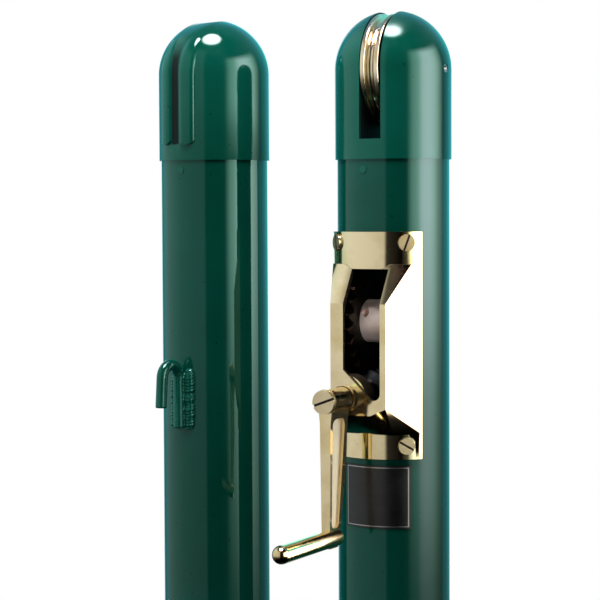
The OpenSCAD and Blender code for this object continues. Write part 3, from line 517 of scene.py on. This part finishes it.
# Winder housing: one brass casting with a saddle on the tube, two level bands and a faceted box between,
# machined flat and polished by hand. Its edges are eased, and the polish leaves faint soft hollows.
def polished_brass(name, dull, bright, roughness, hollow_mm=0.05, marks_share=1.0):
    """Cast brass, polished: tarnish drifts over some 25 mm, wheel marks are fine and mostly level."""
    material, tree, shader = blank(name)
    place = add(tree, "ShaderNodeTexCoord").outputs["Object"]
    tint = ramp(tree, noise(tree, place, 40.0, 3.0), [(0.3, linear(dull)), (0.6, linear(bright))])
    # a few casting pinholes of about 0.5 mm that the polishing opened
    holes = add(tree, "ShaderNodeTexVoronoi", {"Vector": place, "Scale": 140.0}, feature="F1").outputs["Distance"]
    pits = ramp(tree, holes, [(0.03, linear("#6a5a3c")), (0.06, (1, 1, 1, 1))])
    # wheel marks 0.7 mm apart and finer, drawn out along the level
    stretch = add(tree, "ShaderNodeMapping", {"Vector": place, "Scale": (0.12, 0.12, 1.0)}).outputs["Vector"]
    marks = noise(tree, stretch, 1500.0, 2.0)
    # soft hollows of about 22 mm under the marks
    hollows = bump(tree, noise(tree, place, 45.0, 1.0), hollow_mm / 1000, 1.0)
    wire(tree, shader, {"Base Color": mix(tree, tint, pits, blend="MULTIPLY"), "Metallic": 1.0,
                        "Roughness": remap(tree, marks, 0.3, 0.7, roughness * (1 - 0.25 * marks_share),
                                           roughness * (1 + 0.35 * marks_share)),
                        "Normal": bump(tree, marks, 0.000004, 0.5 * marks_share, under=hollows)})
    return material


def gritty(name, dark, pale, stops, grain, detail, roughness, metallic=0.0, depth=None, strength=1.0):
    """A surface with a grain 1 / grain metres wide, dark at the first stop of its noise and pale at the second.

    Where depth is given, the grain also stands up by it."""
    material, tree, shader = blank(name)
    grit = noise(tree, add(tree, "ShaderNodeTexCoord").outputs["Object"], grain, detail)
    wire(tree, shader, {"Base Color": ramp(tree, grit, [(stops[0], linear(dark)), (stops[1], linear(pale))]),
                        "Metallic": metallic, "Roughness": roughness})
    if depth:
        wire(tree, shader, {"Normal": bump(tree, grit, depth, strength)})
    return material


housing_brass = polished_brass("polished cast brass", "#dcc690", "#f3e3b8", 0.09)
housing = finish_node("winder_housing", housing_brass, 0.0007, segments=3)

# inside, the casting is left as it came from the sand, with grit of about 0.7 mm, and is painted dark as painted
# shade
housing.data.materials.append(gritty("rough cast brass, oiled", "#17140f", "#5a5347", (0.35, 0.75), 1400.0, 3.0,
                                     roughness=0.5, metallic=0.7, depth=0.0002, strength=0.7))
# an inside face meets another across the hollow, or looks at the post's axis, or lines the window;
# the machined front with its rounded edge, and all that lies further out than the hollow, is left bright
FRONT_DEPTH, HOLLOW_REACH = 0.0009, 0.0515
WINDOW_HALF, WINDOW_BACK_Y = 0.0135, -0.03
housing_front = min(vertex.co.y for vertex in housing.data.vertices)
for face in housing.data.polygons:
    centre, facing = face.center, face.normal
    met, *_ = housing.ray_cast(centre + facing * 0.0004, facing, distance=0.06)
    inward = facing.xy.dot(centre.xy) < -0.1 * centre.xy.length
    in_window = abs(centre.x) < WINDOW_HALF and centre.y < WINDOW_BACK_Y and abs(facing.y) < 0.5
    behind_front = centre.y > housing_front + FRONT_DEPTH
    if (met or inward or in_window) and behind_front and centre.xy.length < HOLLOW_REACH:
        face.material_index = 1

# Housing screws: four slotted brass screws with low round heads, one at each corner of the saddle.
# Their heads are machined, and a little darker than the casting from handling.
screw_brass = polished_brass("turned brass screw heads", "#ccb385", "#f2e2b8", 0.34, 0.12, 0.3)
# the faces inside the screws' slots are near black
slot_grime = gritty("grease and dust in a screw slot", "#120d07", "#3a2c1a", (0.35, 0.8), 2500.0, 2.0,
                    roughness=0.6)
# turns in radians of eight low ways round a point of a screw's head
SLOT_WAYS = (0.2, 1.0, 1.8, 2.6, 3.4, 4.2, 5.0, 5.8)


def fill_slots(screws, depth, head_way=None):
    """Gives the faces of a screw's slot the near-black colour: they face another wall closer than the slot is
    deep.

    The head faces head_way, or straight away from the post's axis. The slot's floor faces that way too, so
    it is told from the head by walls on at least three of eight low ways round it."""
    screws.data.materials.append(slot_grime)
    for face in screws.data.polygons:
        centre, facing = face.center, face.normal
        out = head_way or Vector((centre.x, centre.y, 0)).normalized()
        side = facing.cross(Vector((0, 0, 1)) if abs(facing.z) < 0.9 else Vector((1, 0, 0))).normalized()
        ways, needed = [facing], 1
        if facing.dot(out) > 0.9:
            ways = [(facing * 0.35 + side.cross(facing) * math.sin(turn) + side * math.cos(turn)).normalized()
                    for turn in SLOT_WAYS]
            needed = 3
        if sum(screws.ray_cast(centre + facing * 0.0001, way, distance=depth)[0] for way in ways) >= needed:
            face.material_index = 1


fill_slots(finish_node("housing_screws", screw_brass, 0.0003), 0.003)

# Worm bearings: two bronze bushes and a thrust washer pressed into the housing, turned smooth.
# Oil keeps them dark; only their end faces and rims are seen.
WORM_CENTRE, WORM_AXIS = (-0.0105, 0, 1.11871), (0, 1, 0)
oiled_bronze = turned_metal("oiled bearing bronze", "#6f4a2b", "#a5774a", 0.28, 0.5, WORM_AXIS, WORM_CENTRE)
for name in ("worm_front_bush", "worm_rear_bush", "thrust_washer"):
    finish_node(name, oiled_bronze, 0.0002)

# Worm: case-hardened steel with a single three-turn thread, cut on the lathe in one piece with its
# journals and the square that drives the crank. The flanks are worn bright, the roots dark with oil.
worm_steel = turned_metal("hardened steel, oiled", "#232426", "#55585b", 0.36, 0.6, WORM_AXIS, WORM_CENTRE)
finish_node("worm", worm_steel, 0.0002, segments=1, angle=42)

# Worm wheel, drum and its pins: a 24-tooth bronze wheel held to a brass drum by two dowels.
# The cable has rubbed the drum to a satin, and the wheel's teeth are near black.
DRUM_CENTRE, DRUM_AXIS = (0, -0.0105, 1.1679), (1, 0, 0)
wheel_bronze = turned_metal("greased gear bronze", "#16130f", "#3d3426", 0.4, 0.6, DRUM_AXIS, DRUM_CENTRE)
finish_node("worm_wheel", wheel_bronze, 0.0002, segments=1, angle=35)
drum_brass = turned_metal("cable-worn brass", "#ecd0c2", "#fdeadf", 0.4, 0.9, DRUM_AXIS, DRUM_CENTRE,
                          metallic=0.2)
drum = finish_node("drum", drum_brass, 0.0005, segments=3)
# the bright room comes in through the window and lights the drum
softbox_lamp("drum_card", bearing=30, distance=0.4, rise_above=0.04, size=0.25, watts=1.1,
             aim=(0.004, -0.028, 1.168), only=drum)
drum_steel = turned_metal("bright drawn steel", "#777a7c", "#b4b7b9", 0.24, 0.5, DRUM_AXIS, DRUM_CENTRE)
for name, width in (("drum_dowels", 0.0003), ("drum_axle", 0.0008), ("drum_washers", 0.0002),
                    ("axle_clips", 0.0002)):
    finish_node(name, drum_steel, width)

# Crank: an I-section brass arm cast with its hub and its round grip, polished bright by hand and by use.
# It sits on the worm's square and is held by one large slotted screw.
crank_brass = polished_brass("handled cast brass", "#d6bd84", "#f2e0b2", 0.11, hollow_mm=0.07)
crank = finish_node("crank_arm", crank_brass, 0.0008, segments=3)
# the hollows of the I-section keep a pale, pickled casting skin with a grain of about 0.8 mm
crank.data.materials.append(gritty("pickled casting skin", "#d8cca8", "#e6ddc0", (0.3, 0.7), 1200.0, 3.0,
                                   roughness=0.6, metallic=0.05, depth=0.00006, strength=0.6))
# the hollows' floors lie within 2.2 mm of the arm's middle, and end below the hub
ARM_X, WEB_REACH, HOLLOW_TOP_Z = WORM_CENTRE[0], 0.0022, 1.107
for face in crank.data.polygons:
    if abs(face.normal.x) > 0.5 and abs(face.center.x - ARM_X) < WEB_REACH and face.center.z < HOLLOW_TOP_Z:
        face.material_index = 1
fill_slots(finish_node("crank_screw", screw_brass, 0.0004), 0.004, head_way=Vector((0, -1, 0)))
# a white card held low on the right lights the hollow of the crank, which the post would hide it from
softbox_lamp("crank_card", bearing=100, distance=0.5, rise_above=-0.08, size=0.4, watts=1.7,
             aim=(-0.005, -0.075, 1.07), only=crank)

# Plain plate: a thin black-anodised aluminium plate glued round the tube below the housing, left bare.
# Its face is framed by a narrow line where the bright metal shows through.
plate_black, tree, shader = blank("black anodised aluminium")
place = add(tree, "ShaderNodeTexCoord").outputs["Object"]
# brushed before anodising: level lines about 1 mm apart and finer
level_lines = add(tree, "ShaderNodeMapping", {"Vector": place, "Scale": (0.05, 0.05, 1.0)}).outputs["Vector"]
brushed = noise(tree, level_lines, 900.0, 3.0)
blotch = noise(tree, place, 90.0, 4.0)
black = mix(tree, ramp(tree, brushed, [(0.3, linear("#0a0b0c")), (0.75, linear("#191b1c"))]),
            ramp(tree, blotch, [(0.3, linear("#b0b0b0")), (0.7, (1, 1, 1, 1))]), blend="MULTIPLY")


def inside_edges(part, low_edge, high_edge):
    """How far a place lies inside the nearer of two edges, in one direction."""
    return reckon(tree, "MINIMUM", reckon(tree, "SUBTRACT", part, low_edge),
                  reckon(tree, "SUBTRACT", high_edge, part))


# the framing line is 0.56 mm wide, and its middle runs 1.45 mm inside the edge
LINE_INSET, LINE_HALF = 0.00145, 0.00028
low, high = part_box("plain_plate")
parts = add(tree, "ShaderNodeSeparateXYZ", {"Vector": place}).outputs
inside = reckon(tree, "MINIMUM", inside_edges(parts["X"], low[0], high[0]),
                inside_edges(parts["Z"], low[2], high[2]))
frame_line = reckon(tree, "COMPARE", inside, LINE_INSET, LINE_HALF)
wire(tree, shader, {"Base Color": mix(tree, black, linear("#b4b6b5"), frame_line), "Metallic": frame_line,
                    "Roughness": remap(tree, blotch, 0, 1, 0.2, 0.42), "Specular IOR Level": 0.6,
                    "Normal": bump(tree, brushed, 0.00001, 0.5)})
finish_node("plain_plate", plate_black, 0.0001, segments=1)


# Plain post cap: a domed casting with two half-round cable ribs over its front and back, pressed into the
# tube and enamelled. The paint fills the corners beside the ribs, and the cable groove between is painted near
# black as painted shade.
def coat_beside_groove(tree, place):
    """0 in the front cable groove of the plain post's cap, taken in that post's own directions, and 1 elsewhere;
    the 0 marks painted shade.
    """
    low_side, high_side, low_end, high_end = -0.0076, -0.0004, 1.2885, 1.362
    own = add(tree, "ShaderNodeMapping", {"Vector": place, "Location": (PLAIN_X, 0, 0),
                                          "Rotation": (0, 0, PLAIN_TURN)}, vector_type="TEXTURE").outputs[0]
    parts = add(tree, "ShaderNodeSeparateXYZ", {"Vector": own}).outputs
    half = (high_side - low_side) / 2
    off_middle = reckon(tree, "ABSOLUTE", reckon(tree, "SUBTRACT", parts["X"], (low_side + high_side) / 2))
    side = remap(tree, off_middle, half - 0.0009, half + 0.0006)
    foot = remap(tree, parts["Z"], low_end + 0.0012, low_end)
    head = remap(tree, parts["Z"], high_end - 0.012, high_end)
    return reckon(tree, "MAXIMUM", side, reckon(tree, "MAXIMUM", foot, head))


# painted shade: the front cable groove between the ribs is painted near black
ribbed_enamel = casting_enamel("gloss green stoving enamel, thin in the groove", coat_beside_groove)
plain_cap = finish_node("plain_post_cap", ribbed_enamel, 0.0011, segments=3, angle=22)
# the pattern was worn: the rib on the left lies further round, which leaves the front groove wider
DRIFT = [(-45, 0.0), (-20, -8.5), (-3, -8.5), (3, -2.5), (15, 0.0)]
for vertex in plain_cap.data.vertices:
    own = PLAIN_POST.inverted() @ vertex.co
    bearing = math.degrees(math.atan2(own.x, -own.y))
    for (low_bearing, low_drift), (high_bearing, high_drift) in zip(DRIFT, DRIFT[1:]):
        if low_bearing <= bearing < high_bearing:
            drift = low_drift + (high_drift - low_drift) * (bearing - low_bearing) / (high_bearing - low_bearing)
            vertex.co = PLAIN_POST @ (Matrix.Rotation(math.radians(drift), 3, "Z") @ own)
select_only(plain_cap)
bpy.ops.mesh.customdata_custom_splitnormals_clear()
bpy.ops.object.shade_smooth_by_angle(angle=math.radians(50))

# Cable hook: 8 mm round bar bent to an open hook and arc-welded to the tube by one leg, then enamelled.
# The beads beside the leg show the welder's steps, about 2.2 mm apart, softened by the paint.
BAR_R, HOOK_LEG_Y, HOOK_BEND_Y, HOOK_BEND_Z, HOOK_FOOT_Z = 0.004, -0.0422, -0.0512, 1.1248, 1.0888
TIP_LENGTH, TIP_LEAN = 0.021, math.radians(4)
bpy.ops.mesh.primitive_circle_add(vertices=32, radius=BAR_R, fill_type="NGON",
                                  location=(0, HOOK_LEG_Y, HOOK_FOOT_Z))
hook = bpy.context.object
hook.name = "cable_hook_bar"
bpy.ops.object.transform_apply(location=True, rotation=True, scale=True)
bpy.ops.object.mode_set(mode="EDIT")
bpy.ops.mesh.select_all(action="SELECT")
bpy.ops.mesh.extrude_region_move(TRANSFORM_OT_translate={"value": (0, 0, HOOK_BEND_Z - HOOK_FOOT_Z)})
bpy.ops.mesh.spin(steps=36, angle=math.radians(-176), center=(0, HOOK_BEND_Y, HOOK_BEND_Z), axis=(1, 0, 0))
bpy.ops.mesh.extrude_region_move(TRANSFORM_OT_translate={"value": (0, -math.sin(TIP_LEAN) * TIP_LENGTH,
                                                                   -math.cos(TIP_LEAN) * TIP_LENGTH)})
bpy.ops.mesh.select_all(action="SELECT")
bpy.ops.mesh.remove_doubles(threshold=1e-6)
bpy.ops.mesh.normals_make_consistent(inside=False)
bpy.ops.object.mode_set(mode="OBJECT")
round_edges(hook, 0.0007, segments=3, angle=40)

# weld beads: lens-shaped steps of melted rod, tilted as the rod moved along, smaller at both ends of a run
STEP_RISE, WELD_REACH, WELD_SIDE, STEP_TILT = 0.0022, 0.0386, math.radians(9.5), math.radians(24)
steps = random.Random(7)
bead_parts = []


def weld_bead(side, count, radius):
    """A run of overlapping steps in the corner between the leg and the tube, from the foot upwards."""
    turn_by = side * WELD_SIDE
    for index in range(count):
        swell = radius * steps.uniform(0.9, 1.08) * (0.8 if index in (0, count - 1) else 1.0)
        spot = Matrix.Rotation(turn_by + math.radians(steps.uniform(-0.5, 0.5)), 3, "Z") @ Vector(
            (0, -WELD_REACH - steps.uniform(0.0, 0.0003), HOOK_FOOT_Z + 0.0008 + index * STEP_RISE))
        bpy.ops.mesh.primitive_uv_sphere_add(segments=20, ring_count=12, radius=swell, location=spot,
                                             rotation=(STEP_TILT, 0, turn_by), scale=(1.0, 1.0, 0.5))
        bead_parts.append(bpy.context.object)


weld_bead(side=1, count=19, radius=0.0041)
weld_bead(side=-1, count=17, radius=0.0036)
select_only(hook)
for bead in bead_parts:
    bead.select_set(True)
bpy.ops.object.join()
remesh = hook.modifiers.new("painted_over", "REMESH")
remesh.mode = "VOXEL"
remesh.voxel_size = 0.00045
bpy.ops.object.modifier_apply(modifier=remesh.name)
settle = hook.modifiers.new("paint_flow", "SMOOTH")
settle.factor = 0.5
settle.iterations = 3
bpy.ops.object.modifier_apply(modifier=settle.name)
place_apply(hook, PLAIN_TOP)
bpy.ops.object.shade_smooth()
dress(hook, cap_enamel)
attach(hook, "posts")
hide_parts("cable_hook")
